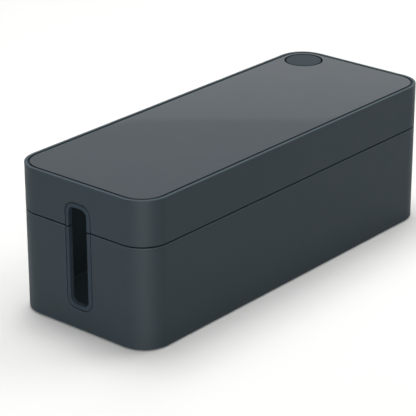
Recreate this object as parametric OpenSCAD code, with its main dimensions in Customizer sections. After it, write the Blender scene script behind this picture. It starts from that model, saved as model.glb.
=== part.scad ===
// Cable management box: an open base that holds a power strip, a lift-off lid with a soft
// non-slip top panel, a round cable outlet with its cap in one corner of the lid, and a tall
// cable slot in each end, half in the base and half in the lid, each half with a rubber edge trim.
//
// Frame: the origin is on the floor under the middle of the box, +X runs along its length,
// +Y to the rear and +Z up. All sizes are in millimetres.

/* [Body] */
// Overall length of the box
body_l = 406; // [300:1:520]
// Overall depth of the box
body_w = 156; // [120:1:220]
// Overall height, from the floor under the feet to the rim of the lid
body_h = 139; // [115:1:200]
// Radius of the four upright corners
corner_r = 27; // [20:0.5:36]
// Thickness of the moulded walls
wall_t = 2.6; // [2:0.1:3.4]
// Thickness of the base's floor
floor_t = 2.6; // [2.2:0.1:5]
// Rounding of the outer edge around the underside
underside_edge_r = 1.5; // [0.4:0.1:2]
// Fillet inside, where floor or deck meets the wall
inner_fillet_r = 2; // [0.5:0.1:5]
// Number of segments in a full circle
circle_segments = 96; // [24:8:200]

/* [Parting line] */
// Height of the lid's skirt, from its lower edge to the rim
skirt_h = 41.8; // [34:0.1:60]
// Width of the shadow gap between base and lid
parting_gap = 1.3; // [0.4:0.1:3]
// Rounding of the base's upper outer edge
parting_edge_r = 0.8; // [0.2:0.1:1.5]
// Rounding of the lid's lower outer edge
skirt_edge_r = 0.4; // [0.1:0.1:1]
// Height of the base's inner lip above the base's upper edge
lip_h = 7; // [4:0.5:14]
// Thickness of the lip
lip_t = 1.8; // [1.2:0.1:3]
// Gap between the lip and the inside of the lid's skirt
lip_clearance = 0.3; // [0.2:0.05:0.8]
// Height of the thickened band that carries the lip, below the base's upper edge
lip_band_h = 8; // [4:0.5:20]
// Chamfer on the lip's upper outer edge
lip_chamfer = 0.6; // [0.2:0.1:1]

/* [Lid] */
// Thickness of the deck under the top panel
deck_t = 2.4; // [1.6:0.1:4]
// Width of the rim around the panel, which is a little thicker than the walls
rim_t = 3; // [2.4:0.1:4]
// Rounding of the rim's outer edge
rim_edge_r = 0.5; // [0.2:0.1:2]
// Thickness of the ribs that stand on the lip
rest_rib_t = 2; // [1.2:0.1:4]
// How far the ribs reach past the lip, towards the middle of the box
rest_rib_overhang = 1.9; // [0.5:0.1:5]
// Number of ribs along each long side
rest_ribs_long = 4; // [2:1:8]
// Distance of the outermost of them from the rounding of the corners
rest_rib_corner_gap = 21; // [5:1:60]

/* [Top panel] */
// Width of the groove between the rim and the panel
groove_w = 1.9; // [0.8:0.1:3]
// Thickness of the soft panel
panel_t = 1.8; // [1:0.1:4]
// Thickness of the adhesive sheet under the panel
adhesive_t = 0.2; // [0.1:0.05:0.5]
// How far the adhesive sheet stays back from the panel's edges
adhesive_inset = 1.5; // [0.5:0.1:4]

/* [Cable outlet] */
// Radius of the hole in the panel
outlet_hole_r = 19; // [12:0.1:24]
// Least width of the panel between the hole and the groove
outlet_web = 3.1; // [2:0.1:8]
// Gap between the panel and the cap
cap_gap = 1.8; // [0.3:0.1:2.5]
// How far the cup that the cap sits in goes down below the deck's top
cap_sink = 3; // [0.5:0.1:5]
// Width of the ring in the cup that carries the cap
cap_seat_w = 2.2; // [1.8:0.1:4]
// Clearance between the bore and the cap's skirt
cap_clearance = 0.25; // [0.1:0.05:0.6]
// Thickness of the cup's wall and of the collar under it
collar_t = 1.8; // [1.2:0.1:3]
// Height of the collar below the cup
collar_h = 3; // [1:0.5:12]
// Thickness of the cap's top
cap_t = 2; // [1.2:0.1:3]
// Thickness of the cap's wall and skirt
cap_skirt_t = 1.6; // [1:0.1:1.8]
// Height of the cap's skirt below the ring that carries the cap
cap_skirt_h = 5; // [2:0.5:14]

/* [Cable slots] */
// Clear width of each slot
slot_w = 21; // [12:0.1:30]
// Height of the slot's lower end above the floor
slot_bottom_z = 24.8; // [14:0.1:40]
// Distance of the slot's upper end below the rim of the lid
slot_top_drop = 23.2; // [14:0.1:30]
// Corner radius of the clear slot
slot_r = 6; // [2:0.1:6]
// Width of the trim's face around the slot
trim_face_w = 3.8; // [3:0.1:7]
// Thickness of the trim's outer flange, whose lower part sits in a recess of the wall
trim_flange_t = 2; // [1.2:0.1:2.2]
// How far the trim's face stands proud of the wall's face
trim_proud = 0.7; // [0:0.05:0.9]
// Thickness of the trim's web, which lines the hole in the wall
trim_web_t = 1.4; // [1:0.1:2.4]
// Thickness of the trim's inner flange, behind the wall
trim_inner_t = 2; // [1:0.1:3]
// Width of the trim's inner flange around the slot
trim_inner_w = 3.8; // [2.8:0.1:6]
// Groove that shows around the trim's face, in its recess
trim_groove_w = 0.8; // [0.05:0.05:1.2]
// Gap around the trim's web in the hole
trim_fit = 0.15; // [0.05:0.05:0.4]
// Gap between the trim's inner flange and the cut ends of the lip
lip_break_gap = 1.5; // [0.5:0.1:4]

/* [Feet and floor] */
// Radius of each foot
foot_r = 7; // [4:0.5:10]
// Thickness of each foot
foot_t = 2; // [1.2:0.1:3]
// How far the feet stand proud of the underside
foot_proud = 0.8; // [0.4:0.1:1.6]
// Gap around each foot in its pocket
foot_fit = 0.15; // [0.05:0.05:0.5]
// Distance of the feet's centres from the sides and ends
foot_inset = 26; // [20:0.5:40]
// Height of the two ribs on the floor that keep the power strip off it
floor_rib_h = 1.2; // [0.6:0.1:4]
// Thickness of the ribs on the floor
floor_rib_t = 1.8; // [1:0.1:4]
// Distance of each floor rib from the middle of the box
floor_rib_y = 20; // [12:0.5:40]
// Distance of the floor ribs' ends from the ends of the box
floor_rib_end_inset = 50; // [30:1:100]
// Radius of the round gate recess in the middle of the underside
gate_r = 5; // [2:0.5:10]
// Depth of the gate recess
gate_depth = 0.5; // [0.2:0.1:1]

/* [Hidden] */

$fn = circle_segments;
cut = 1; // how far a cutting shape runs past the face that it cuts
weld = 0.2; // how far a rib or collar runs into the shell that it grows from

abs_colour = "#3b4346";
panel_colour = "#5d6366";
rubber_colour = "#323b42";
foot_colour = "#1d2022";

underside_z = foot_proud;
floor_z = underside_z + floor_t;
lid_z = body_h - skirt_h;
parting_z = lid_z - parting_gap;
lip_top_z = parting_z + lip_h;
deck_top_z = body_h - panel_t - adhesive_t;
deck_z = deck_top_z - deck_t;

// Insets from the outer face, towards the middle of the box
lip_outer = wall_t + lip_clearance;
lip_inner = lip_outer + lip_t;
panel_inset = rim_t + groove_w;

// The outlet lies on the corner's own axis, where its hole leaves room for that
outlet_inset = max(corner_r, panel_inset + outlet_web + outlet_hole_r);
outlet_x = body_l / 2 - outlet_inset;
outlet_y = body_w / 2 - outlet_inset;
cap_r = outlet_hole_r - cap_gap;
outlet_bore_r = cap_r - cap_seat_w;
cap_skirt_r = outlet_bore_r - cap_clearance;
cap_seat_z = deck_top_z - cap_sink;
cup_z = cap_seat_z - deck_t;
collar_z = cup_z - collar_h;

slot_top_z = body_h - slot_top_drop;
trim_recess_d = trim_flange_t - trim_proud;
lip_break_w = slot_w + 2 * trim_inner_w + 2 * lip_break_gap;

rest_rib_depth = lip_inner - wall_t + rest_rib_overhang;
rest_rib_x = body_l / 2 - corner_r - rest_rib_corner_gap;
// On the ends the ribs stand half way between the break in the lip and the corner
rest_rib_y = (lip_break_w / 2 + body_w / 2 - corner_r) / 2;

foot_x = body_l / 2 - foot_inset;
foot_y = body_w / 2 - foot_inset;

// ---------------------------------------------------------------- outlines and sections

// A rectangle from corner to corner
module span(low, high) {
  translate(low) square(high - low);
}

// A rectangle with four round corners, between two corners of its bounding box
module rounded_span(low, high, r) {
  span([low.x + r, low.y], [high.x - r, high.y]);
  span([low.x, low.y + r], [high.x, high.y - r]);
  for (x = [low.x + r, high.x - r], y = [low.y + r, high.y - r])
    translate([x, y]) circle(r);
}

// The plan of the box, drawn in by an inset
module plan(inset) {
  corner = [body_l / 2 - inset, body_w / 2 - inset];
  rounded_span(-corner, corner, corner_r - inset);
}

// What rounds a corner at the origin whose material lies towards +x and +y
module round_off(r) {
  difference() {
    span([-cut, -cut], [r, r]);
    translate([r, r]) circle(r);
  }
}

// What fills an inside corner at the origin whose material lies towards -x and -y
module fillet(r) {
  difference() {
    span([-weld, -weld], [r, r]);
    translate([r, r]) circle(r);
  }
}

// The wall all the way round the box, from its section: x is the inset from the outer face,
// up to the corner radius, and y is the height
module around_the_box() {
  for (side = [0, 1]) rotate(180 * side) {
    translate([-body_l / 2 + corner_r, -body_w / 2, 0])
      rotate([90, 0, 90]) linear_extrude(body_l - 2 * corner_r) children();
    translate([body_l / 2, -body_w / 2 + corner_r, 0])
      rotate([90, 0, 180]) linear_extrude(body_w - 2 * corner_r) children();
    for (end = [1, -1])
      translate([end * (body_l / 2 - corner_r), -body_w / 2 + corner_r, 0])
        rotate(end == 1 ? 270 : 180) rotate_extrude(angle = 90)
          translate([corner_r, 0]) mirror([1, 0]) children();
  }
}

// The plate inside the corner radius, which closes a floor or a deck
module plate(z, t) {
  inner = [body_l - 2 * corner_r, body_w - 2 * corner_r];
  translate([-inner.x / 2, -inner.y / 2, z]) cube([inner.x, inner.y, t]);
}

// The base's wall and the floor next to it
module base_section() {
  difference() {
    polygon([
      [0, underside_z], [corner_r, underside_z], [corner_r, floor_z],
      [wall_t, floor_z], [wall_t, parting_z - lip_band_h - lip_inner + wall_t],
      [lip_inner, parting_z - lip_band_h], [lip_inner, lip_top_z],
      [lip_outer + lip_chamfer, lip_top_z], [lip_outer, lip_top_z - lip_chamfer],
      [lip_outer, parting_z], [0, parting_z]
    ]);
    translate([0, underside_z]) round_off(underside_edge_r);
    translate([0, parting_z]) mirror([0, 1]) round_off(parting_edge_r);
  }
  translate([wall_t, floor_z]) fillet(inner_fillet_r);
}

// The lid's skirt and rim and the deck next to them
module lid_section() {
  difference() {
    polygon([
      [0, lid_z], [wall_t, lid_z], [wall_t, deck_z], [corner_r, deck_z],
      [corner_r, deck_top_z], [rim_t, deck_top_z], [rim_t, body_h], [0, body_h]
    ]);
    translate([0, lid_z]) round_off(skirt_edge_r);
    translate([0, body_h]) mirror([0, 1]) round_off(rim_edge_r);
  }
  translate([wall_t, deck_z]) mirror([0, 1]) fillet(inner_fillet_r);
}

// ---------------------------------------------------------------- cable slots

// A layer of an end wall between two insets, in the shape of its child: x is across, y is up
module end_layer(outer, inner) {
  translate([-body_l / 2 + outer, 0, 0])
    rotate([90, 0, 90]) linear_extrude(inner - outer) children();
}

// The slot's outline, grown on all sides
module slot_outline(grow) {
  rounded_span(
    [-slot_w / 2 - grow, slot_bottom_z - grow],
    [slot_w / 2 + grow, slot_top_z + grow],
    slot_r + grow
  );
}

// What the slots and their trims take out of both end walls
module slot_cuts() {
  for (side = [0, 1]) mirror([side, 0, 0]) {
    end_layer(-cut, trim_recess_d) slot_outline(trim_face_w + trim_groove_w);
    end_layer(-cut, wall_t + cut) slot_outline(trim_web_t + trim_fit);
  }
}

// A trim's outline around the slot, from the clear opening out to a given width
module trim_outline(width) {
  difference() {
    slot_outline(width);
    slot_outline(0);
  }
}

// The closed trim of the left slot: outer flange, web and inner flange
module left_trim_ring() {
  end_layer(-trim_proud, trim_recess_d) trim_outline(trim_face_w);
  end_layer(-trim_proud, wall_t + trim_inner_t) trim_outline(trim_web_t);
  end_layer(wall_t, wall_t + trim_inner_t) trim_outline(trim_inner_w);
}

// The part of the left trim between two heights
module left_trim(low, high) {
  reach = slot_w / 2 + trim_face_w + cut;
  color(rubber_colour) intersection() {
    left_trim_ring();
    translate([-body_l / 2 - cut, -reach, low])
      cube([wall_t + trim_inner_t + 2 * cut, 2 * reach, high - low]);
  }
}

module base_slot_trim_left() {
  left_trim(slot_bottom_z - trim_face_w - cut, parting_z);
}

module base_slot_trim_right() {
  mirror([1, 0, 0]) base_slot_trim_left();
}

module lid_slot_trim_left() {
  left_trim(lid_z, slot_top_z + trim_face_w + cut);
}

module lid_slot_trim_right() {
  mirror([1, 0, 0]) lid_slot_trim_left();
}

// ---------------------------------------------------------------- base

// The gaps in the lip and its band behind both slots, where the trims' inner flanges are
module lip_breaks() {
  for (side = [0, 1]) mirror([side, 0, 0])
    translate([-body_l / 2 + wall_t, -lip_break_w / 2, parting_z - lip_band_h - lip_inner])
      cube([lip_inner + cut, lip_break_w, lip_h + lip_band_h + lip_inner + cut]);
}

// One rib along the floor
module floor_rib(y) {
  length = body_l - 2 * floor_rib_end_inset;
  translate([-length / 2, y - floor_rib_t / 2, floor_z - weld])
    cube([length, floor_rib_t, floor_rib_h + weld]);
}

module base_shell() {
  color(abs_colour) difference() {
    union() {
      around_the_box() base_section();
      plate(underside_z, floor_t);
      for (y = [-floor_rib_y, floor_rib_y]) floor_rib(y);
    }
    slot_cuts();
    lip_breaks();
    at_the_feet() cylinder(h = foot_t, r = foot_r + foot_fit);
    translate([0, 0, underside_z - cut]) cylinder(h = cut + gate_depth, r = gate_r);
  }
}

// ---------------------------------------------------------------- feet

// Repeats a shape at the four feet
module at_the_feet() {
  for (x = [-foot_x, foot_x], y = [-foot_y, foot_y]) translate([x, y, 0]) children();
}

// One round foot, seated in its pocket
module foot(x, y) {
  color(foot_colour) translate([x, y, 0]) cylinder(h = foot_t, r = foot_r);
}

module front_left_foot() {
  foot(-foot_x, -foot_y);
}

module front_right_foot() {
  foot(foot_x, -foot_y);
}

module rear_left_foot() {
  foot(-foot_x, foot_y);
}

module rear_right_foot() {
  foot(foot_x, foot_y);
}

// ---------------------------------------------------------------- lid

// A rib from the deck down to the lip, against the inside of a wall that lies at -y
module rest_rib(wall_distance) {
  translate([-rest_rib_t / 2, -wall_distance + wall_t - weld, lip_top_z])
    cube([rest_rib_t, rest_rib_depth + weld, deck_z + weld - lip_top_z]);
}

// The ribs that carry the lid on the lip, along both long sides and on both ends
module rest_ribs() {
  pitch = 2 * rest_rib_x / (rest_ribs_long - 1);
  for (side = [0, 1]) rotate(180 * side) {
    for (i = [0 : rest_ribs_long - 1])
      translate([i * pitch - rest_rib_x, 0, 0]) rest_rib(body_w / 2);
    for (y = [-rest_rib_y, rest_rib_y])
      rotate(90) translate([y, 0, 0]) rest_rib(body_l / 2);
  }
}

// Moves a shape to the outlet, in the rear right corner
module at_the_outlet(z) {
  translate([outlet_x, outlet_y, z]) children();
}

module lid_frame() {
  color(abs_colour) difference() {
    union() {
      around_the_box() lid_section();
      plate(deck_z, deck_t);
      rest_ribs();
      at_the_outlet(cup_z) cylinder(h = deck_z - cup_z + weld, r = outlet_hole_r + collar_t);
      at_the_outlet(collar_z) cylinder(h = collar_h + weld, r = outlet_bore_r + collar_t);
    }
    slot_cuts();
    at_the_outlet(cap_seat_z) cylinder(h = cap_sink + cut, r = outlet_hole_r);
    at_the_outlet(collar_z - cut)
      cylinder(h = collar_h + deck_t + 2 * cut, r = outlet_bore_r);
  }
}

// A flat sheet inside the rim, with the outlet's hole
module lid_sheet(inset, hole_r) {
  difference() {
    plan(inset);
    translate([outlet_x, outlet_y]) circle(hole_r);
  }
}

module top_panel() {
  color(panel_colour) translate([0, 0, body_h - panel_t])
    linear_extrude(panel_t) lid_sheet(panel_inset, outlet_hole_r);
}

module panel_adhesive() {
  color("white") translate([0, 0, deck_top_z]) linear_extrude(adhesive_t)
    lid_sheet(panel_inset + adhesive_inset, outlet_hole_r + adhesive_inset);
}

// A round wall that hangs from the underside of the cap's top
module cap_wall(low, r) {
  translate([0, 0, low]) difference() {
    cylinder(h = body_h - cap_t + weld - low, r = r);
    translate([0, 0, -cut]) cylinder(h = body_h - cap_t + cut - low, r = r - cap_skirt_t);
  }
}

module outlet_cap() {
  color(abs_colour) at_the_outlet(0) {
    translate([0, 0, body_h - cap_t]) cylinder(h = cap_t, r = cap_r);
    cap_wall(cap_seat_z, cap_r);
    cap_wall(cap_seat_z - cap_skirt_h, cap_skirt_r);
  }
}

// ---------------------------------------------------------------- assembly

base_shell();
lid_frame();
top_panel();
panel_adhesive();
outlet_cap();
base_slot_trim_left();
base_slot_trim_right();
lid_slot_trim_left();
lid_slot_trim_right();
front_left_foot();
front_right_foot();
rear_left_foot();
rear_right_foot();
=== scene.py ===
"""The looks of a cable management box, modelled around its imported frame.

Each moulded shell is one section, drawn from corners with roundings and swept around the box.
Slot trims are a channel swept along a slot, and what repeats is set out on points.
Sizes that the frame holds are read from it. The others are properties, in metres.
"""

import math

import bmesh
import bpy
from bpy.props import FloatProperty, FloatVectorProperty, IntProperty, PointerProperty
from mathutils import Matrix, Vector


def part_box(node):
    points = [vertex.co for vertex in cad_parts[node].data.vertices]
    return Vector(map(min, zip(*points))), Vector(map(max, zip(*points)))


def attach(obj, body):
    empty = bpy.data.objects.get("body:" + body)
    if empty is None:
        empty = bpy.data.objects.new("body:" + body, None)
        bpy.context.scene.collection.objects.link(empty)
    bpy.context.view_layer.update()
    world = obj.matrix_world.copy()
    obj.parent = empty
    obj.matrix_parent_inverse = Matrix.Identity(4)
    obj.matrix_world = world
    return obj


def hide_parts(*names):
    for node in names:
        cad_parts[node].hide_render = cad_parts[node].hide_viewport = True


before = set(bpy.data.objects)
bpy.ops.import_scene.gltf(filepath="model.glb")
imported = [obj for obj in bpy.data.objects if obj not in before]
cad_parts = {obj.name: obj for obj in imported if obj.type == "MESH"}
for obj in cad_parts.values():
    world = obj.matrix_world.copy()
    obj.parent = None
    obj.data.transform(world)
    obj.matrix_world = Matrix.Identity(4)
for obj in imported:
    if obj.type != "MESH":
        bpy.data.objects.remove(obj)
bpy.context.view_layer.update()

bl_info = {
    "name": "Cable Management Box",
    "version": (1, 0, 0),
    "blender": (4, 5, 0),
    "location": "3D View > Sidebar > Cable Box",
    "description": "Models the shells, panel, cap, trims and feet of a cable management box",
    "category": "Add Mesh",
}

MM = 0.001

# ---------------------------------------------------------------- what the frame says

HALF_LENGTH, HALF_DEPTH, RIM_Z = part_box("lid_frame")[1]
UNDERSIDE_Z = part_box("base_shell")[0].z
LIP_TOP_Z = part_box("base_shell")[1].z
PARTING_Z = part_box("base_slot_trim_left")[1].z
SKIRT_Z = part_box("lid_frame")[0].z
DECK_TOP_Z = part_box("panel_adhesive")[0].z
PANEL_LOW, PANEL_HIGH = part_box("top_panel")
CAP_LOW, CAP_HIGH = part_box("outlet_cap")
OUTLET_AXIS = ((CAP_LOW.x + CAP_HIGH.x) / 2, (CAP_LOW.y + CAP_HIGH.y) / 2, 0)
LOWER_TRIM_LOW, LOWER_TRIM_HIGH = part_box("base_slot_trim_left")
UPPER_TRIM_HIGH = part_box("lid_slot_trim_left")[1]
PANEL_OBJECT = "soft_panel"
FOOT_NODES = ["front_left_foot", "front_right_foot", "rear_left_foot", "rear_right_foot"]


# ---------------------------------------------------------------- properties


def size(name, description, millimetres):
    """A length that a user can change."""
    return FloatProperty(
        name=name, description=description, default=millimetres * MM, min=0,
        unit="LENGTH", precision=5,
    )


def linear(hex_colour):
    """The linear red, green and blue of an sRGB hex colour such as 3B4346."""
    shares = [int(hex_colour[i:i + 2], 16) / 255 for i in (0, 2, 4)]
    return [s / 12.92 if s <= 0.04045 else ((s + 0.055) / 1.055) ** 2.4 for s in shares]


def colour(name, description, hex_colour):
    """A colour that a user can change."""
    return FloatVectorProperty(
        name=name, description=description, default=linear(hex_colour), min=0, max=1,
        subtype="COLOR",
    )


class ShellSizes(bpy.types.PropertyGroup):
    """Sizes of the two moulded shells and the panel in the lid"""

    corner_radius: size("Corner radius", "Radius of the four upright corners", 27)
    corner_steps: IntProperty(
        name="Corner steps", description="Faces around each upright corner",
        default=32, min=4, max=64,
    )
    wall: size("Wall", "Thickness of the moulded walls", 2.6)
    floor: size("Floor", "Thickness of the base's floor", 2.6)
    deck: size("Deck", "Thickness of the deck under the panel", 2.4)
    inner_fillet: size("Inner fillet", "Fillet where floor or deck meets the wall", 2)
    underside_edge: size("Underside edge", "Rounding of the edge around the underside", 1.5)
    parting_edge: size("Parting edge", "Rounding of the base's upper outer edge", 0.8)
    skirt_edge: size("Skirt edge", "Rounding of the lid's lower edges", 0.4)
    rim: size("Rim", "Width of the rim around the panel", 3)
    rim_edge: size("Rim edge", "Rounding of the rim's outer edge", 0.5)
    fine_edge: size("Fine edge", "Rounding of the edges that the mould leaves almost sharp", 0.25)
    lip_clearance: size("Lip clearance", "Gap between the lip and the lid's skirt", 0.3)
    lip: size("Lip", "Thickness of the lip that the lid fits over", 1.8)
    lip_chamfer: size("Lip chamfer", "Chamfer on the lip's upper outer edge", 0.6)
    lip_band: size("Lip band", "Height of the thick band that carries the lip", 8)
    rib: size("Rib", "Thickness of the ribs that stand on the lip", 2)
    rib_overhang: size("Rib overhang", "How far those ribs reach past the lip", 1.9)
    rib_corner_gap: size("Rib corner gap", "From the outermost rib to the corner's rounding", 21)
    floor_rib: size("Floor rib", "Thickness of the two ribs on the floor", 1.8)
    floor_rib_height: size("Floor rib height", "Height of the two ribs on the floor", 1.2)
    floor_rib_offset: size("Floor rib offset", "Distance of each floor rib from the middle", 20)
    floor_rib_end: size("Floor rib end", "Distance of the floor ribs from the ends of the box", 50)
    gate_radius: size("Gate radius", "Radius of the moulding gate's recess in the underside", 5)
    gate_depth: size("Gate depth", "Depth of that recess", 0.5)
    panel_edge: size("Panel edge", "Rounding of the panel's upper edge", 0.4)


class FittingSizes(bpy.types.PropertyGroup):
    """Sizes of the slots, their trims, the outlet, its cap and the feet"""

    trim_face: size("Trim face", "Width of the trim's face around the slot", 3.8)
    trim_flange: size("Trim flange", "Thickness of the trim's outer flange", 2)
    trim_web: size("Trim web", "Thickness of the trim where it lines the slot", 1.4)
    trim_inner: size("Trim inner flange", "Width of the trim's flange behind the wall", 3.8)
    trim_crown: size("Trim crown", "How far the trim's face falls away to its inner edge", 0.3)
    trim_shoulder: size("Trim shoulder", "How far it falls away to its outer edge", 0.9)
    trim_groove: size("Trim groove", "Groove around the trim's face, in its recess", 0.8)
    trim_gap: size("Trim gap", "Gap around the trim's web in the hole", 0.15)
    slot_radius: size("Slot radius", "Corner radius of the clear slot", 6)
    lip_break_gap: size("Lip break gap", "Gap between the inner flange and the cut lip", 1.5)
    outlet_gap: size("Outlet gap", "Gap between the panel and the cap", 1.8)
    cap_sink: size("Cap sink", "Depth of the cup that the cap sits in, below the deck's top", 3)
    cap_seat: size("Cap seat", "Width of the ring in the cup that carries the cap", 2.2)
    cap_clearance: size("Cap clearance", "Clearance of the cap's skirt in the bore", 0.25)
    cap_top: size("Cap top", "Thickness of the cap's top", 2)
    cap_skirt: size("Cap skirt", "Thickness of the cap's wall and skirt", 1.6)
    cap_edge: size("Cap edge", "Rounding of the cap's upper edge", 0.5)
    collar: size("Collar", "Thickness of the cup's wall and of the collar under it", 1.8)
    collar_height: size("Collar height", "Height of the collar below the cup", 3)
    foot_gap: size("Foot gap", "Gap around each foot in its pocket", 0.15)
    foot_edge: size("Foot edge", "Rounding of the foot's lower edge", 0.5)


class Finishes(bpy.types.PropertyGroup):
    """Colours of the finishes"""

    shell: colour("Shell", "Graphite moulding of base, lid and cap", "323D43")
    panel: colour("Panel", "Soft panel in the lid", "323D45")
    trim: colour("Trim", "Rubber edge trim of the slots", "3B464E")
    foot: colour("Foot", "Rubber of the feet", "1B1D1F")
    film: colour("Film", "Adhesive film under the panel", "DAD9D4")
    floor: colour("Floor", "Floor that the box stands on", "FFFFFD")


# ---------------------------------------------------------------- nodes and trees


def add_node(tree, kind, inputs=None, **settings):
    """Adds a node with its settings. Each input gets a value or the socket that feeds it."""
    node = tree.nodes.new(kind)
    for name, value in settings.items():
        setattr(node, name, value)
    for key, value in (inputs or {}).items():
        if isinstance(value, bpy.types.NodeSocket):
            tree.links.new(value, node.inputs[key])
        else:
            node.inputs[key].default_value = value
    return node


def new_tree(name, sockets):
    """A geometry tree with a geometry input and output and the named inputs, and its input node."""
    tree = bpy.data.node_groups.new(name, "GeometryNodeTree")
    tree.interface.new_socket("Geometry", in_out="INPUT", socket_type="NodeSocketGeometry")
    tree.interface.new_socket("Geometry", in_out="OUTPUT", socket_type="NodeSocketGeometry")
    for socket_name, kind in sockets.items():
        tree.interface.new_socket(socket_name, in_out="INPUT", socket_type="NodeSocket" + kind)
    return tree, add_node(tree, "NodeGroupInput").outputs


def finish_tree(tree, geometry, material):
    """Ends a tree in realized instances with their material."""
    real = add_node(tree, "GeometryNodeRealizeInstances", {"Geometry": geometry})
    dressed = add_node(
        tree, "GeometryNodeSetMaterial", {"Geometry": real.outputs[0], "Material": material}
    )
    add_node(tree, "NodeGroupOutput", {"Geometry": dressed.outputs[0]})
    return tree


def sweep_tree():
    """Sweeps the section object along the host's own line, with the line's corners rounded."""
    tree, given = new_tree("Sweep a section", {
        "Section": "Object", "Corner Radius": "Float", "Corner Steps": "Int",
        "Material": "Material",
    })
    line = add_node(tree, "GeometryNodeMeshToCurve", {"Mesh": given["Geometry"]})
    smooth = add_node(tree, "GeometryNodeFilletCurve", {
        "Curve": line.outputs[0], "Radius": given["Corner Radius"], "Count": given["Corner Steps"],
    }, mode="POLY")
    upright = add_node(
        tree, "GeometryNodeSetCurveNormal", {"Curve": smooth.outputs[0]}, mode="Z_UP"
    )
    section = add_node(tree, "GeometryNodeObjectInfo", {"Object": given["Section"]})
    profile = add_node(tree, "GeometryNodeMeshToCurve", {"Mesh": section.outputs["Geometry"]})
    swept = add_node(tree, "GeometryNodeCurveToMesh", {
        "Curve": upright.outputs[0], "Profile Curve": profile.outputs[0], "Fill Caps": True,
    })
    return finish_tree(tree, swept.outputs[0], given["Material"])


def copies_tree():
    """Sets the item object out on the host's points, each turned about Z by the point's turn."""
    tree, given = new_tree("Copies on points", {"Item": "Object", "Material": "Material"})
    item = add_node(tree, "GeometryNodeObjectInfo", {"Object": given["Item"]})
    turn = add_node(tree, "GeometryNodeInputNamedAttribute", {"Name": "turn"}, data_type="FLOAT")
    about_z = add_node(tree, "FunctionNodeAxisAngleToRotation", {
        "Axis": (0, 0, 1), "Angle": turn.outputs["Attribute"],
    })
    copies = add_node(tree, "GeometryNodeInstanceOnPoints", {
        "Points": given["Geometry"], "Instance": item.outputs["Geometry"],
        "Rotation": about_z.outputs[0],
    })
    return finish_tree(tree, copies.outputs[0], given["Material"])


# ---------------------------------------------------------------- mesh tools


def link(name, mesh):
    """A new object at the origin that shows the mesh."""
    thing = bpy.data.objects.new(name, mesh)
    bpy.context.scene.collection.objects.link(thing)
    return thing


def discard(*things):
    """Removes helper objects that have done their work."""
    for thing in things:
        bpy.data.objects.remove(thing)


def set_plain(thing):
    """Turns the modifiers of an object into its own plain mesh."""
    graph = bpy.context.evaluated_depsgraph_get()
    mesh = bpy.data.meshes.new_from_object(thing.evaluated_get(graph), depsgraph=graph)
    thing.modifiers.clear()
    thing.data = mesh
    return thing


def run_tree(thing, tree, inputs):
    """Runs a geometry tree on an object, with its inputs given by name."""
    modifier = thing.modifiers.new(tree.name, "NODES")
    modifier.node_group = tree
    for item in tree.interface.items_tree:
        if item.in_out == "INPUT" and item.name in inputs:
            modifier[item.identifier] = inputs[item.name]
    return set_plain(thing)


def edit(thing):
    """The object's mesh, open for editing."""
    mesh = bmesh.new()
    mesh.from_mesh(thing.data)
    return mesh


DOUBLES = 0.0005 * MM  # vertices nearer to each other than this are one


def close(thing, mesh):
    """Merges doubles, turns the faces outwards and writes the edited mesh back."""
    bmesh.ops.remove_doubles(mesh, verts=mesh.verts, dist=DOUBLES)
    bmesh.ops.recalc_face_normals(mesh, faces=mesh.faces)
    mesh.to_mesh(thing.data)
    mesh.free()
    return thing


def polyline(name, points, closed):
    """An object with one flat line through the points."""
    edges = [(i, i + 1) for i in range(len(points) - 1)]
    if closed:
        edges.append((len(points) - 1, 0))
    mesh = bpy.data.meshes.new(name)
    mesh.from_pydata([(x, y, 0) for x, y in points], edges, [])
    return link(name, mesh)


ROUNDING_STEP = math.radians(15)  # turn of each facet of a small rounding


def rounded(corners):
    """The line through corners, each given as x, y and the radius that rounds it."""
    points = []
    for i, (x, y, radius) in enumerate(corners):
        corner = Vector((x, y))
        if not radius:
            points.append(corner)
            continue
        back = (Vector(corners[i - 1][:2]) - corner).normalized()
        ahead = (Vector(corners[(i + 1) % len(corners)][:2]) - corner).normalized()
        half = back.angle(ahead) / 2
        centre = corner + (back + ahead).normalized() * radius / math.sin(half)
        spoke = corner + back * radius / math.tan(half) - centre
        turn = math.copysign(math.pi - 2 * half, ahead.cross(back))
        steps = max(2, round(abs(turn) / ROUNDING_STEP))
        points += [centre + Matrix.Rotation(turn * k / steps, 2) @ spoke for k in range(steps + 1)]
    return points


def sweep(name, path, section, radius, steps, material, path_closed=True, section_closed=False):
    """Sweeps a section along a path. The section's x points out of the path, its y points down."""
    swept = polyline(name, path, path_closed)
    profile = polyline(name + "_section", section, section_closed)
    run_tree(swept, sweep_tree(), {
        "Section": profile, "Corner Radius": radius, "Corner Steps": steps - 1,
        "Material": material,
    })
    discard(profile)
    mesh = edit(swept)
    bmesh.ops.holes_fill(mesh, edges=[e for e in mesh.edges if e.is_boundary])
    return close(swept, mesh)


def around_the_box(name, corners, sizes, material):
    """A closed shell from a section around the box, given by inset, height and rounding."""
    path = [(HALF_LENGTH, HALF_DEPTH), (-HALF_LENGTH, HALF_DEPTH),
            (-HALF_LENGTH, -HALF_DEPTH), (HALF_LENGTH, -HALF_DEPTH)]
    section = [(-inset, -height) for inset, height in rounded(corners)]
    return sweep(name, path, section, sizes.corner_radius, sizes.corner_steps, material)


ROUND_STEPS = 96  # faces around the outlet and its cap
SMALL_ROUND_STEPS = 64  # faces around a foot or a recess in the underside
ON_AXIS = 0.001 * MM  # vertices nearer to the axis than this lie on it


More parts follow.
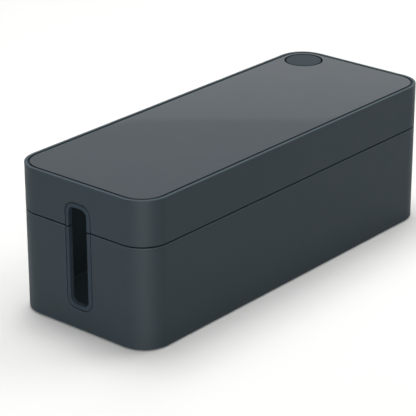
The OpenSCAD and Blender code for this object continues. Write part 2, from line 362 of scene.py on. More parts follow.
def turned(name, corners, centre, material, steps=ROUND_STEPS):
    """A closed solid of revolution about Z from an outline of radius, height and rounding."""
    outline = polyline(name, rounded(corners), closed=True)
    mesh = edit(outline)
    upright = Matrix.Rotation(math.radians(90), 4, "X")
    bmesh.ops.transform(mesh, matrix=upright, verts=mesh.verts)
    on_axis = [e for e in mesh.edges if all(v.co.x < ON_AXIS for v in e.verts)]
    bmesh.ops.delete(mesh, geom=on_axis, context="EDGES")
    bmesh.ops.spin(
        mesh, geom=mesh.verts[:] + mesh.edges[:], axis=(0, 0, 1), cent=(0, 0, 0),
        angle=math.tau, steps=steps, use_merge=True,
    )
    bmesh.ops.transform(mesh, matrix=Matrix.Translation(centre), verts=mesh.verts)
    outline.data.materials.append(material)
    return close(outline, mesh)


def block(name, low, high, edge, material):
    """A block between two corners with its edges rounded."""
    low, high = Vector(low), Vector(high)
    mesh = bmesh.new()
    bmesh.ops.create_cube(mesh, size=1)
    stretch = Matrix.Translation((low + high) / 2) @ Matrix.Diagonal((*(high - low), 1))
    bmesh.ops.transform(mesh, matrix=stretch, verts=mesh.verts)
    if edge:
        bmesh.ops.bevel(
            mesh, geom=mesh.edges[:], offset=edge, segments=2, profile=0.5, affect="EDGES"
        )
    thing = link(name, bpy.data.meshes.new(name))
    thing.data.materials.append(material)
    return close(thing, mesh)


def copies(name, item, places, material):
    """One mesh of an item at each place, given by x, y, z and a turn about Z."""
    mesh = bpy.data.meshes.new(name)
    mesh.from_pydata([place[:3] for place in places], [], [])
    turns = mesh.attributes.new("turn", "FLOAT", "POINT")
    turns.data.foreach_set("value", [place[3] for place in places])
    thing = run_tree(link(name, mesh), copies_tree(), {"Item": item, "Material": material})
    discard(item)
    return thing


def mould(shell, grown=(), cut=()):
    """Grows the tools into a shell and cuts the others out of it."""
    for operation, tools in (("UNION", grown), ("DIFFERENCE", cut)):
        for tool in tools:
            modifier = shell.modifiers.new(tool.name, "BOOLEAN")
            modifier.operation = operation
            modifier.solver = "MANIFOLD"
            modifier.object = tool
    set_plain(shell)
    discard(*grown, *cut)
    return close(shell, edit(shell))


SHARP = math.radians(32)  # edges that turn by more than this stay crisp


def shade(thing):
    """Smooth shading that stays flat on flats and crisp on edges."""
    thing.data.shade_smooth()
    thing.data.set_sharp_from_angle(angle=SHARP)
    weighted = thing.modifiers.new("Weighted normals", "WEIGHTED_NORMAL")
    weighted.weight = 100
    weighted.keep_sharp = True
    return set_plain(thing)


ROUNDED = (math.radians(10), math.radians(25))  # turns between the facets of a rounding
BROAD = 200 * MM * MM  # a face larger than this is a flat, which gets no painted highlight
TOP_BAND = 0.01 * MM  # a vertex no further than this below the top lies at it


def mark_edge_highlight(thing, top=None):
    """Marks the roundings of outer edges, and what lies at the top, where a highlight is painted.
    """
    mesh = edit(thing)
    rubbed = mesh.verts.layers.float.new("rubbed")
    for e in mesh.edges:
        if e.is_manifold and e.is_convex and ROUNDED[0] < e.calc_face_angle() < ROUNDED[1]:
            for v in e.verts:
                v[rubbed] = all(face.calc_area() < BROAD for face in v.link_faces)
    # What lies at the top, the rim, gets the painted highlight whole.
    for v in mesh.verts:
        if top is not None and v.co.z > top - TOP_BAND:
            v[rubbed] = 1
    mesh.to_mesh(thing.data)
    mesh.free()
    return thing


def hand_over(thing, body, slot, *nodes):
    """Gives a finished piece to the frame, in place of the nodes that it stands for."""
    shade(thing)
    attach(thing, body)
    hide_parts(*nodes)
    return thing


# ---------------------------------------------------------------- finishes


def new_material(name):
    """An empty material, and its shader node and object coordinates."""
    material = bpy.data.materials.new(name)
    material.use_nodes = True
    tree = material.node_tree
    place = add_node(tree, "ShaderNodeTexCoord").outputs["Object"]
    return material, tree, tree.nodes["Principled BSDF"], place


def set_inputs(node, **values):
    """Sets sockets of a node, named with underscores for their spaces."""
    for name, value in values.items():
        node.inputs[name.replace("_", " ")].default_value = value


def noise(tree, place, millimetres, detail=2.0):
    """Noise whose patches are about that size."""
    return add_node(tree, "ShaderNodeTexNoise", {
        "Vector": place, "Scale": 1 / (millimetres * MM), "Detail": detail,
    }).outputs["Fac"]


NOISE_RANGE = (0.35, 0.65)  # levels between which a noise mostly stays


def spread(tree, factor, low, high):
    """A value that runs from low to high as a noise runs over its usual range."""
    return add_node(tree, "ShaderNodeMapRange", {
        "Value": factor, "From Min": NOISE_RANGE[0], "From Max": NOISE_RANGE[1],
        "To Min": low, "To Max": high,
    }).outputs["Result"]


def mottle(tree, factor, tone, swing):
    """A colour that varies by a share of itself, up and down."""
    darker = [c * (1 - swing) for c in tone] + [1]
    lighter = [c * (1 + swing) for c in tone] + [1]
    return add_node(tree, "ShaderNodeMix", {
        "Factor": spread(tree, factor, 0, 1), "A": darker, "B": lighter,
    }, data_type="RGBA")


def bump(tree, height, depth_mm, strength):
    """A normal from a height that spans the depth."""
    return add_node(tree, "ShaderNodeBump", {
        "Height": height, "Distance": depth_mm * MM, "Strength": strength,
    }).outputs["Normal"]


PATCH_MM = 25  # size of the slow changes in tone and gloss


def surface(
    name, tone, swing, grain_mm, depth_mm, strength, roughness, rubbed=(1, 1), **uniform
):
    """A moulded surface: grain that breaks up the light over slow changes in tone and gloss.

    Where an edge highlight is painted, its tone and its roughness are multiplied by the two shares,
    for a paler and glossier painted highlight.
    """
    material, tree, shader, place = new_material(name)
    patches = noise(tree, place, PATCH_MM)
    grain = noise(tree, place, grain_mm, detail=3)
    # mask of the painted edge highlight
    highlight_mask = add_node(tree, "ShaderNodeAttribute", attribute_name="rubbed").outputs["Fac"]
    mixed = mottle(tree, patches, tone, swing)
    highlight_shares = [
        add_node(tree, "ShaderNodeMapRange", {"Value": highlight_mask, "To Min": 1, "To Max": share})
        for share in rubbed
    ]
    toned = add_node(tree, "ShaderNodeVectorMath", {
        0: mixed.outputs["Result"], "Scale": highlight_shares[0].outputs["Result"],
    }, operation="SCALE")
    gloss = add_node(tree, "ShaderNodeMath", {
        0: spread(tree, patches, *roughness), 1: highlight_shares[1].outputs["Result"],
    }, operation="MULTIPLY")
    tree.links.new(toned.outputs[0], shader.inputs["Base Color"])
    tree.links.new(gloss.outputs[0], shader.inputs["Roughness"])
    tree.links.new(bump(tree, grain, depth_mm, strength), shader.inputs["Normal"])
    set_inputs(shader, **uniform)
    return material


def finish(name):
    """The material of that name, made when it is first asked for."""
    if name not in bpy.data.materials:
        MAKERS[name](bpy.context.scene.box_finishes)
    return bpy.data.materials[name]


def spark_eroded_abs(tones):
    """ABS from a spark-eroded mould: a fine matt grain that spreads every highlight."""
    # The real grain is near 0.1 mm. It is drawn at 0.6 mm, as coarse as it needs to show.
    return surface(
        "Spark eroded ABS", tones.shell, swing=0.03, grain_mm=0.6, depth_mm=0.05, strength=0.25,
        # the marked edge roundings and the rim's top are painted 1.7 times paler as a highlight,
        # and made glossier
        roughness=(0.52, 0.58), rubbed=(1.7, 0.8), Specular_IOR_Level=0.16,
    )


def satin_soft_panel(tones):
    """Cast soft-touch elastomer: a satin body under a smooth skin that mirrors faintly."""
    return surface(
        "Satin soft panel", tones.panel, swing=0.01, grain_mm=0.8, depth_mm=0.02, strength=0.1,
        roughness=(0.38, 0.4), Specular_IOR_Level=0.2, Coat_Weight=0.355, Coat_Roughness=0.02,
    )


def trim_rubber(tones):
    """Extruded rubber edge trim: a bluish grey, matt, with next to no sheen."""
    return surface(
        "Trim rubber", tones.trim, swing=0.04, grain_mm=0.5, depth_mm=0.04, strength=0.2,
        roughness=(0.5, 0.56), Specular_IOR_Level=0.02,
    )


def foot_rubber(tones):
    """Moulded rubber feet: black and dull."""
    return surface(
        "Foot rubber", tones.foot, swing=0.06, grain_mm=0.5, depth_mm=0.06, strength=0.3,
        roughness=(0.7, 0.8),
    )


def adhesive_film(tones):
    """Double-sided film: pale, with the fibres of its carrier."""
    return surface(
        "Adhesive film", tones.film, swing=0.03, grain_mm=0.4, depth_mm=0.02, strength=0.2,
        roughness=(0.4, 0.5),
    )


MAKERS = {
    "Spark eroded ABS": spark_eroded_abs,
    "Satin soft panel": satin_soft_panel,
    "Trim rubber": trim_rubber,
    "Foot rubber": foot_rubber,
    "Adhesive film": adhesive_film,
}


# ---------------------------------------------------------------- slots, outlet, ribs and feet

WELD = 0.6 * MM  # how far a rib or cup reaches into what it grows from
PAST = 1 * MM  # how far a cutter reaches past what it cuts
FLARE = 3 * MM  # how much wider a round cutter is there, to ease the edge that it leaves
HAIR = 0.05 * MM  # how far the cut through the lip goes into the wall, so that no skin is left
SLOT_START = 2 * MM  # how far outside the wall the slot's cutter starts
SLOT_FLARE = 6 * MM  # how much wider than the trim's recess it is there
SLOT_EASE = 0.06 * MM  # depth in the wall at which it has narrowed to the recess
TRIM_CREST = (0.35, 0.6)  # shares of the trim's face between which it stands highest
SLOT_STEPS = 12  # faces around each corner of a slot
END_WALL = Matrix((
    (0, 0, -1, -HALF_LENGTH),
    (-1, 0, 0, 0),
    (0, 1, 0, 0),
    (0, 0, 0, 1),
))  # from a drawing of the left end, x across and y up, to where it stands
BOTH_ENDS = [(0, 0, 0, 0), (0, 0, 0, math.pi)]


def slot_span(fittings):
    """Half width, lower end and upper end of the clear slot."""
    half = LOWER_TRIM_HIGH.y - fittings.trim_face
    low = LOWER_TRIM_LOW.z + fittings.trim_face
    return half, low, UPPER_TRIM_HIGH.z - fittings.trim_face


def slot_cutter(shell, fittings):
    """What both slots take out of the walls: the trim's recess, eased at the face, and the hole."""
    half, low, high = slot_span(fittings)
    recess = fittings.trim_face + fittings.trim_groove
    hole = fittings.trim_web + fittings.trim_gap
    recess_depth = LOWER_TRIM_LOW.x + HALF_LENGTH + fittings.trim_flange
    middle = -half / 2
    section = rounded([
        (middle, -SLOT_START, 0),
        (recess + SLOT_FLARE, -SLOT_START, 0),
        (recess, SLOT_EASE, shell.fine_edge),
        (recess, recess_depth, 0),
        (hole, recess_depth, 0),
        (hole, shell.wall + PAST, 0),
        (middle, shell.wall + PAST, 0),
    ])
    path = [(half, high), (-half, high), (-half, low), (half, low)]
    abs_grain = finish("Spark eroded ABS")
    cutter = sweep("slot_cutter", path, section, fittings.slot_radius, SLOT_STEPS, abs_grain)
    cutter.data.transform(END_WALL)
    return copies("slot_cutters", cutter, BOTH_ENDS, abs_grain)


def slot_trims(name, path, fittings, shell):
    """The edge trims of one half of both slots: a channel that grips the wall's edge."""
    face = LOWER_TRIM_LOW.x + HALF_LENGTH
    width = fittings.trim_face
    behind = face + fittings.trim_flange
    inner_end = LOWER_TRIM_HIGH.x + HALF_LENGTH
    fine = shell.fine_edge
    section = rounded([
        (0, face + fittings.trim_crown, 3 * fine),
        (width * TRIM_CREST[0], face, 6 * fine),
        (width * TRIM_CREST[1], face, 6 * fine),
        (width, face + fittings.trim_shoulder, 2 * fine),
        (width, behind, fine / 2),
        (fittings.trim_web, behind, fine / 2),
        (fittings.trim_web, shell.wall, fine / 2),
        (fittings.trim_inner, shell.wall, fine),
        (fittings.trim_inner, inner_end, 2 * fine),
        (0, inner_end, 2 * fine),
    ])
    rubber = finish("Trim rubber")
    trim = sweep(
        name + "_left", path, section, fittings.slot_radius, SLOT_STEPS, rubber,
        path_closed=False, section_closed=True,
    )
    trim.data.transform(END_WALL)
    return copies(name, trim, BOTH_ENDS, rubber)


def outlet_radii(fittings):
    """Radii of the cap, of the hole that it lies in and of the bore under it."""
    cap = (CAP_HIGH.x - CAP_LOW.x) / 2
    return cap, cap + fittings.outlet_gap, cap - fittings.cap_seat


def lip_break_half(fittings):
    """Half width of the stretch at each slot where the lip makes room for the trim."""
    return slot_span(fittings)[0] + fittings.trim_inner + fittings.lip_break_gap


def rib_places(shell, fittings):
    """Where the lid's rest ribs start on the inside of the walls, along both sides and ends."""
    outermost = HALF_LENGTH - shell.corner_radius - shell.rib_corner_gap
    end_rib = (lip_break_half(fittings) + HALF_DEPTH - shell.corner_radius) / 2
    side, end = HALF_DEPTH - shell.wall, HALF_LENGTH - shell.wall
    places = []
    for along in (-outermost, -outermost / 3, outermost / 3, outermost):
        places += [(along, -side, 0, 0), (along, side, 0, math.pi)]
    for across in (-end_rib, end_rib):
        places += [(-end, across, 0, -math.pi / 2), (end, across, 0, math.pi / 2)]
    return places


def foot_places():
    """Where the middles of the four feet stand on the floor."""
    places = []
    for name in FOOT_NODES:
        low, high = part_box(name)
        places.append(((low.x + high.x) / 2, (low.y + high.y) / 2, 0, 0))
    return places


def recess_cutter(name, radius, top, edge, material):
    """What a round recess takes out of the underside, with both its edges eased."""
    return turned(name, [
        (0, -PAST, 0),
        (radius + FLARE, -PAST, 0),
        (radius, UNDERSIDE_Z + edge / 4, edge),
        (radius, top, edge),
        (0, top, 0),
    ], (0, 0, 0), material, SMALL_ROUND_STEPS)


# ---------------------------------------------------------------- operators


class BOX_OT_base(bpy.types.Operator):
    """Models the base: floor, wall, lip, slots, foot pockets and floor ribs"""

    bl_idname = "cable_box.base"
    bl_label = "Base"
    bl_options = {"REGISTER", "UNDO"}

    def execute(self, context):
        shell, fittings = context.scene.box_shell, context.scene.box_fittings
        abs_grain = finish("Spark eroded ABS")
        middle = shell.corner_radius / 2
        floor_z = UNDERSIDE_Z + shell.floor
        lip_outer = shell.wall + shell.lip_clearance
        lip_inner = lip_outer + shell.lip
        band_z = PARTING_Z - shell.lip_band
        fine = shell.fine_edge
        base = around_the_box("base_moulding", [
            (middle, floor_z, 0),
            (shell.wall, floor_z, shell.inner_fillet),
            (shell.wall, band_z - lip_inner + shell.wall, 2 * fine),
            (lip_inner, band_z, 2 * fine),
            (lip_inner, LIP_TOP_Z, fine),
            (lip_outer + shell.lip_chamfer, LIP_TOP_Z, fine),
            (lip_outer, LIP_TOP_Z - shell.lip_chamfer, fine),
            (lip_outer, PARTING_Z, fine),
            (0, PARTING_Z, shell.parting_edge),
            (0, UNDERSIDE_Z, shell.underside_edge),
            (middle, UNDERSIDE_Z, 0),
        ], shell, abs_grain)

        rib_end = HALF_LENGTH - shell.floor_rib_end
        half_rib = shell.floor_rib / 2
        rib = block(
            "floor_rib", (-rib_end, -half_rib, floor_z - WELD),
            (rib_end, half_rib, floor_z + shell.floor_rib_height), 2 * fine, abs_grain,
        )
        offset = shell.floor_rib_offset
        ribs = copies("floor_ribs", rib, [(0, -offset, 0, 0), (0, offset, 0, 0)], abs_grain)

        half_break = lip_break_half(fittings)
        lip_break = block(
            "lip_break",
            (-HALF_LENGTH + shell.wall - HAIR, -half_break, band_z - lip_inner),
            (-HALF_LENGTH + lip_inner + shell.wall, half_break, LIP_TOP_Z + PAST), 0, abs_grain,
        )
        lip_breaks = copies("lip_breaks", lip_break, BOTH_ENDS, abs_grain)

        foot_low, foot_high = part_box(FOOT_NODES[0])
        pocket_r = (foot_high.x - foot_low.x) / 2 + fittings.foot_gap
        pocket = recess_cutter("foot_pocket", pocket_r, foot_high.z, fine, abs_grain)
        pockets = copies("foot_pockets", pocket, foot_places(), abs_grain)
        gate_top = UNDERSIDE_Z + shell.gate_depth
        gate = recess_cutter("gate_recess", shell.gate_radius, gate_top, fine, abs_grain)
        mould(base, [ribs], [slot_cutter(shell, fittings), lip_breaks, pockets, gate])
        # the base's edge roundings, such as the line under the seam, get the painted highlight
        hand_over(mark_edge_highlight(base), "base", "shell_abs", "base_shell")
        return {"FINISHED"}


class BOX_OT_lid(bpy.types.Operator):
    """Models the lid: skirt, rim, groove, deck, slots, rest ribs and the outlet's bore"""

    bl_idname = "cable_box.lid"
    bl_label = "Lid"
    bl_options = {"REGISTER", "UNDO"}

    def execute(self, context):
        shell, fittings = context.scene.box_shell, context.scene.box_fittings
        abs_grain = finish("Spark eroded ABS")
        middle = shell.corner_radius / 2
        deck_z = DECK_TOP_Z - shell.deck
        fine = shell.fine_edge
        lid = around_the_box("lid_moulding", [
            (middle, deck_z, 0),
            (shell.wall, deck_z, shell.inner_fillet),
            (shell.wall, SKIRT_Z, shell.skirt_edge),
            (0, SKIRT_Z, shell.skirt_edge),
            (0, RIM_Z, shell.rim_edge),
            (shell.rim, RIM_Z, fine),
            (shell.rim, DECK_TOP_Z, fine),
            (middle, DECK_TOP_Z, 0),
        ], shell, abs_grain)

        depth = shell.lip_clearance + shell.lip + shell.rib_overhang
        rib = block(
            "rest_rib", (-shell.rib / 2, -WELD, LIP_TOP_Z),
            (shell.rib / 2, depth, deck_z + WELD), 2 * fine, abs_grain,
        )
        ribs = copies("rest_ribs", rib, rib_places(shell, fittings), abs_grain)

        _, hole_r, bore_r = outlet_radii(fittings)
        seat_z = DECK_TOP_Z - fittings.cap_sink
        cup_z = seat_z - shell.deck
        collar_z = cup_z - fittings.collar_height
        collar_r = bore_r + fittings.collar
        cup_r = hole_r + fittings.collar
        cup = turned("outlet_cup", [
            (0, collar_z, 0),
            (collar_r, collar_z, 2 * fine),
            (collar_r, cup_z, 2 * fine),
            (cup_r, cup_z, 4 * fine),
            (cup_r, deck_z + WELD, 0),
            (0, deck_z + WELD, 0),
        ], OUTLET_AXIS, abs_grain)
        bore = turned("outlet_bore", [
            (0, collar_z - PAST, 0),
            (bore_r + FLARE, collar_z - PAST, 0),
            (bore_r, collar_z + fine / 4, fine),
            (bore_r, seat_z, fine),
            (hole_r, seat_z, 2 * fine),
            (hole_r, DECK_TOP_Z + PAST, 0),
            (0, DECK_TOP_Z + PAST, 0),
        ], OUTLET_AXIS, abs_grain)
        mould(lid, [ribs, cup], [slot_cutter(shell, fittings), bore])
        # the rim's top and the lid's edge roundings get the painted highlight
        hand_over(mark_edge_highlight(lid, top=RIM_Z), "lid", "shell_abs", "lid_frame")
        return {"FINISHED"}


class BOX_OT_top_panel(bpy.types.Operator):
    """Models the soft panel in the lid, and finishes the adhesive film under it"""

    bl_idname = "cable_box.top_panel"
    bl_label = "Top panel"
    bl_options = {"REGISTER", "UNDO"}

    def execute(self, context):
        shell, fittings = context.scene.box_shell, context.scene.box_fittings
        soft = finish("Satin soft panel")
        inset = PANEL_LOW.x + HALF_LENGTH
        middle = shell.corner_radius / 2
        panel = around_the_box(PANEL_OBJECT, [
            (middle, PANEL_HIGH.z, 0),
            (inset, PANEL_HIGH.z, shell.panel_edge),
            (inset, PANEL_LOW.z, shell.fine_edge),
            (middle, PANEL_LOW.z, 0),
        ], shell, soft)
        hole_r = outlet_radii(fittings)[1]
        edge = shell.panel_edge
        hole = turned("panel_hole", [
            (0, PANEL_LOW.z - PAST, 0),
            (hole_r, PANEL_LOW.z - PAST, 0),
            (hole_r, PANEL_HIGH.z - edge / 4, edge),
            (hole_r + FLARE, PANEL_HIGH.z + PAST, 0),
            (0, PANEL_HIGH.z + PAST, 0),
        ], OUTLET_AXIS, soft)
        mould(panel, cut=[hole])
        hand_over(panel, "lid", "panel_soft", "top_panel")
        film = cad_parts["panel_adhesive"]
        film.data.materials.clear()
        film.data.materials.append(finish("Adhesive film"))
        return {"FINISHED"}


class BOX_OT_outlet_cap(bpy.types.Operator):
    """Models the cap of the round cable outlet, with the skirt that holds it in its bore"""

    bl_idname = "cable_box.outlet_cap"
    bl_label = "Outlet cap"
    bl_options = {"REGISTER", "UNDO"}

    def execute(self, context):
        shell, fittings = context.scene.box_shell, context.scene.box_fittings
        cap_r, _, bore_r = outlet_radii(fittings)
        skirt_outer = bore_r - fittings.cap_clearance
        skirt_inner = skirt_outer - fittings.cap_skirt
        seat_z = DECK_TOP_Z - fittings.cap_sink
        ceiling_z = CAP_HIGH.z - fittings.cap_top
        fine = shell.fine_edge
        cap = turned("outlet_cap_moulding", [
            (0, CAP_HIGH.z, 0),
            (cap_r, CAP_HIGH.z, fittings.cap_edge),
            (cap_r, seat_z, fine),
            (cap_r - fittings.cap_skirt, seat_z, fine),
            (cap_r - fittings.cap_skirt, ceiling_z, fine),
            (skirt_outer, ceiling_z, fine),
            (skirt_outer, CAP_LOW.z, 2 * fine),
            (skirt_inner, CAP_LOW.z, 2 * fine),
            (skirt_inner, ceiling_z, 2 * fine),
            (0, ceiling_z, 0),
        ], OUTLET_AXIS, finish("Spark eroded ABS"))
        # the cap's edge roundings get the painted highlight
        hand_over(mark_edge_highlight(cap), "cap", "shell_abs", "outlet_cap")
        return {"FINISHED"}


class BOX_OT_slot_trims(bpy.types.Operator):
    """Models the rubber edge trims of both cable slots, lower and upper halves"""

    bl_idname = "cable_box.slot_trims"
    bl_label = "Slot trims"
    bl_options = {"REGISTER", "UNDO"}

    def execute(self, context):
        shell, fittings = context.scene.box_shell, context.scene.box_fittings
        half, low, high = slot_span(fittings)
        paths = {
            "base": [(-half, PARTING_Z), (-half, low), (half, low), (half, PARTING_Z)],
            "lid": [(half, SKIRT_Z), (half, high), (-half, high), (-half, SKIRT_Z)],
        }
        for body, path in paths.items():
            name = body + "_slot_trim"
            trims = slot_trims(name + "s", path, fittings, shell)
            hand_over(trims, body, "trim_rubber", name + "_left", name + "_right")
        return {"FINISHED"}


class BOX_OT_feet(bpy.types.Operator):
    """Models the four round rubber feet"""

    bl_idname = "cable_box.feet"
    bl_label = "Feet"
    bl_options = {"REGISTER", "UNDO"}

    def execute(self, context):
        shell, fittings = context.scene.box_shell, context.scene.box_fittings
        low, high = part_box(FOOT_NODES[0])
        radius = (high.x - low.x) / 2
        rubber = finish("Foot rubber")
        foot = turned("foot", [
            (0, high.z, 0), (radius, high.z, shell.fine_edge), (radius, low.z, fittings.foot_edge),
            (0, low.z, 0),
        ], (0, 0, 0), rubber, SMALL_ROUND_STEPS)
        feet = copies("rubber_feet", foot, foot_places(), rubber)
        hand_over(feet, "base", "foot_rubber", *FOOT_NODES)
        return {"FINISHED"}


class BOX_OT_stage(bpy.types.Operator):
    """Sets out the floor, the light and the camera"""

    bl_idname = "cable_box.stage"
    bl_label = "Stage"
    bl_options = {"REGISTER", "UNDO"}

    def execute(self, context):
        context.scene.view_settings.view_transform = "Standard"
        lay_floor()
        wrap_in_dome()
        hang_lamps()
        glow_inside()
        set_camera()
        return {"FINISHED"}


# ---------------------------------------------------------------- stage

FLOOR_HALF = 6.0  # metres from the middle of the floor to each side
CAMERA_AZIMUTH = math.radians(-49.701)
CAMERA_ELEVATION = math.radians(22.975)
CAMERA_ROLL = math.radians(-0.140)
CAMERA_DISTANCE = 1.8235  # metres
CAMERA_SHIFT = (-0.02036, -0.0188)  # metres sideways and up, in the picture plane
CAMERA_AIM = Vector((0, 0, 0.0708))
CAMERA_SENSOR = 36.0  # millimetres
CAMERA_LENS = 169.97  # millimetres

FLOOR_BOUNCE = 0.6  # share of the light that the floor throws back on the box
FLOOR_LIFT = 0.04  # level that is added to the floor where it is seen, near the box
FLOOR_FAR_LIFT = 0.5  # the same far from it, where the lamps don't reach
FLOOR_FADE = (0.95, 1.9)  # metres from the box between which the first runs to the second
HORIZON_LIGHT = 0.1  # level of the dome near the horizon, where 1 is white
ZENITH_LIGHT = 0.9  # what the dome's level gains overhead
ZENITH_FOCUS = 6.0  # how closely that gain gathers around the zenith
SWEEP_TOP = math.radians(20.37)  # elevation up to which the white sweep is mirrored
SWEEP_BLEND = math.radians(0.06)  # above the sweep's top, where the ceiling takes over
SWEEP_FADE = math.radians(1.4)  # below the sweep's top, where it starts to fade
SWEEP_EDGE = 0.8  # level at the sweep's top
CEILING = 0.44  # level that is mirrored above the sweep
INSIDE_LEVEL = 0.8  # level of the lamp inside the box, where 1 lights white near it to white
INSIDE_MARGIN = 0.06  # metres by which that lamp is shorter and narrower than the box
LAMP_DISTANCE = 2.0  # metres from the camera's aim to each lamp around the box
# Name, azimuth and elevation in degrees, width and height in metres, the light that the lamp
# throws on a surface that faces it, where 1 lights white to white, and whether it is there only
# to be mirrored. The others only light, and are never mirrored.
LAMPS = [
    ("overhead", 0, 90, 0.6, 0.6, 0.11, False),
    ("high rear", 160, 78, 0.8, 0.8, 0.31, False),
    ("rear", 130, 60, 1.0, 1.0, 0.126, False),
    ("left", -70, 8, 0.6, 0.5, 0.39, False),
    ("right", 60, 45, 1.0, 1.0, 0.21, False),
    ("right end", 90, 15, 1.0, 1.0, 0.07, False),
    ("back", 180, 8, 1.0, 0.5, 0.05, False),
    ("gloss", -50, 5, 1.0, 0.35, 1.31, True),
]


def direction(azimuth, elevation):
    """The direction from the box towards a place around it; azimuth 0 is the front."""
    flat = math.cos(elevation)
    return Vector((math.sin(azimuth) * flat, -math.cos(azimuth) * flat, math.sin(elevation)))


def set_camera():
    """A long lens that looks down on the left end and the front."""
    back = direction(CAMERA_AZIMUTH, CAMERA_ELEVATION)
    right = (-back).cross(Vector((0, 0, 1))).normalized()
    up = right.cross(-back)
    place = CAMERA_AIM + back * CAMERA_DISTANCE + right * CAMERA_SHIFT[0] + up * CAMERA_SHIFT[1]
    turn = Matrix((right, up, back)).transposed() @ Matrix.Rotation(CAMERA_ROLL, 3, "Z")
    data = bpy.data.cameras.new("camera")
    data.sensor_width = CAMERA_SENSOR
    data.lens = CAMERA_LENS
    camera = bpy.data.objects.new("camera", data)
    camera.matrix_world = Matrix.Translation(place) @ turn.to_4x4()
    bpy.context.scene.collection.objects.link(camera)
    bpy.context.scene.camera = camera


def seen_directly(tree):
    """1 on camera, glossy and transmission rays, which show how the studio looks, else 0."""
    ray = add_node(tree, "ShaderNodeLightPath").outputs
    shown = add_node(tree, "ShaderNodeMath", {
        0: ray["Is Camera Ray"], 1: ray["Is Glossy Ray"],
    }, operation="MAXIMUM")
    return add_node(tree, "ShaderNodeMath", {
        0: shown.outputs[0], 1: ray["Is Transmission Ray"],
    }, operation="MAXIMUM").outputs[0]


def grey(level):
    """A neutral colour of that linear level."""
    return (level, level, level, 1)


def lay_floor():
    """A wide floor that looks white, and throws back less light than white would."""
    tones = bpy.context.scene.box_finishes
    mesh = bpy.data.meshes.new("floor")
    corners = [(-1, -1), (1, -1), (1, 1), (-1, 1)]
    mesh.from_pydata([(x * FLOOR_HALF, y * FLOOR_HALF, 0) for x, y in corners], [], [(0, 1, 2, 3)])
    material, tree, shader, place = new_material("Painted floor")
    shown = seen_directly(tree)
    tone = add_node(tree, "ShaderNodeMix", {
        "Factor": shown, "A": grey(FLOOR_BOUNCE), "B": (*tones.floor, 1),
    }, data_type="RGBA")
    away = add_node(tree, "ShaderNodeVectorMath", {0: place}, operation="LENGTH").outputs["Value"]
    fade = add_node(tree, "ShaderNodeMapRange", {
        "Value": away, "From Min": FLOOR_FADE[0], "From Max": FLOOR_FADE[1],
        "To Min": FLOOR_LIFT, "To Max": FLOOR_FAR_LIFT,
    }, interpolation_type="SMOOTHSTEP").outputs["Result"]
    lift = add_node(tree, "ShaderNodeMath", {0: shown, 1: fade}, operation="MULTIPLY")
    tree.links.new(tone.outputs["Result"], shader.inputs["Base Color"])
    tree.links.new(lift.outputs[0], shader.inputs["Emission Strength"])
    set_inputs(shader, Roughness=1.0, Specular_IOR_Level=0.0, Emission_Color=grey(1))
    mesh.materials.append(material)
    link("floor", mesh)


def ramp(tree, up, low, high, start, end):
    """A level that runs from start to end between two elevations."""
    return add_node(tree, "ShaderNodeMapRange", {
        "Value": up, "From Min": math.sin(low), "From Max": math.sin(high),
        "To Min": start, "To Max": end,
    }).outputs["Result"]


def wrap_in_dome():
    """A pale studio: soft light that grows towards the zenith, and a white sweep all round."""
    world = bpy.data.worlds.new("studio")
    bpy.context.scene.world = world
    world.use_nodes = True
    world.cycles.sampling_method = "NONE"
    tree = world.node_tree
    ray = add_node(tree, "ShaderNodeLightPath").outputs
    up = add_node(tree, "ShaderNodeSeparateXYZ", {
        "Vector": add_node(tree, "ShaderNodeTexCoord").outputs["Generated"],
    }).outputs["Z"]
    sky = add_node(tree, "ShaderNodeMath", {0: up, 1: ZENITH_FOCUS}, operation="POWER")
    light = add_node(tree, "ShaderNodeMath", {
        0: sky.outputs[0], 1: ZENITH_LIGHT, 2: HORIZON_LIGHT,
    }, operation="MULTIPLY_ADD")
    sweep = ramp(tree, up, SWEEP_TOP - SWEEP_FADE, SWEEP_TOP, 1.0, SWEEP_EDGE)
    above = ramp(tree, up, SWEEP_TOP, SWEEP_TOP + SWEEP_BLEND, 0.0, 1.0)
    backdrop = add_node(tree, "ShaderNodeMix", {
        "Factor": above, "A": sweep, "B": CEILING,
    }, data_type="FLOAT")
    mirrored = add_node(tree, "ShaderNodeMix", {
        "Factor": ray["Is Glossy Ray"], "A": 1.0, "B": backdrop.outputs["Result"],
    }, data_type="FLOAT")
    level = add_node(tree, "ShaderNodeMix", {
        "Factor": seen_directly(tree), "A": light.outputs[0], "B": mirrored.outputs["Result"],
    }, data_type="FLOAT")
    tree.links.new(level.outputs["Result"], tree.nodes["Background"].inputs["Color"])


def glow_inside():
    """A wide dim lamp under the deck, for the little light that finds its way into the box."""
    data = bpy.data.lights.new("inside", "AREA")
    data.shape = "RECTANGLE"
    data.size, data.size_y = 2 * HALF_LENGTH - INSIDE_MARGIN, 2 * HALF_DEPTH - INSIDE_MARGIN
    data.energy = INSIDE_LEVEL * math.pi * data.size * data.size_y
    lamp = bpy.data.objects.new("inside", data)
    lamp.visible_camera = lamp.visible_glossy = False
    lamp.location.z = SKIRT_Z
    bpy.context.scene.collection.objects.link(lamp)


def spare_panel(lamp):
    """Keeps a lamp off the panel, which would mirror it whole when it is seen from behind."""
    spared = bpy.data.collections.new("spared by " + lamp.name)
    spared.objects.link(bpy.data.objects[PANEL_OBJECT])
    spared.collection_objects[0].light_linking.link_state = "EXCLUDE"
    lamp.light_linking.receiver_collection = spared


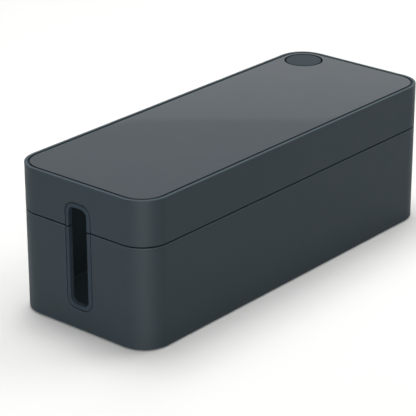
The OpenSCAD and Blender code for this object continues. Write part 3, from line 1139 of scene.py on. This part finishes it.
def hang_lamps():
    """Soft lamps around the box, out of the picture."""
    for name, azimuth, elevation, width, height, level, mirrored in LAMPS:
        data = bpy.data.lights.new(name, "AREA")
        data.shape = "RECTANGLE"
        data.size, data.size_y = width, height
        data.energy = level * (math.pi * LAMP_DISTANCE) ** 2
        lamp = bpy.data.objects.new(name, data)
        lamp.visible_camera = False
        lamp.visible_diffuse = not mirrored
        lamp.visible_glossy = mirrored
        if mirrored:
            spare_panel(lamp)
        aim = direction(math.radians(azimuth), math.radians(elevation))
        place = Matrix.Translation(CAMERA_AIM + aim * LAMP_DISTANCE)
        lamp.matrix_world = place @ aim.to_track_quat("Z", "Y").to_matrix().to_4x4()
        bpy.context.scene.collection.objects.link(lamp)


# ---------------------------------------------------------------- panel and registration

OPERATORS = [
    BOX_OT_base, BOX_OT_lid, BOX_OT_top_panel, BOX_OT_outlet_cap, BOX_OT_slot_trims, BOX_OT_feet,
    BOX_OT_stage,
]


class BOX_PT_sidebar(bpy.types.Panel):
    """Lists the sizes, the finishes and the pieces of the box"""

    bl_idname = "BOX_PT_sidebar"
    bl_label = "Cable Box"
    bl_space_type = "VIEW_3D"
    bl_region_type = "UI"
    bl_category = "Cable Box"

    def draw(self, context):
        scene = context.scene
        for group in (scene.box_shell, scene.box_fittings, scene.box_finishes):
            box = self.layout.box()
            for name in group.__annotations__:
                box.prop(group, name)
        for operator in OPERATORS:
            self.layout.operator(operator.bl_idname)


GROUPS = {"box_shell": ShellSizes, "box_fittings": FittingSizes, "box_finishes": Finishes}


def register():
    for name, group in GROUPS.items():
        bpy.utils.register_class(group)
        setattr(bpy.types.Scene, name, PointerProperty(type=group))
    for kind in (*OPERATORS, BOX_PT_sidebar):
        bpy.utils.register_class(kind)


def unregister():
    for kind in reversed((*OPERATORS, BOX_PT_sidebar)):
        bpy.utils.unregister_class(kind)
    for name, group in reversed(GROUPS.items()):
        delattr(bpy.types.Scene, name)
        bpy.utils.unregister_class(group)


def main():
    """Makes the whole box."""
    register()
    for operator in OPERATORS:
        module, name = operator.bl_idname.split(".")
        getattr(getattr(bpy.ops, module), name)()


if __name__ == "__main__":
    main()
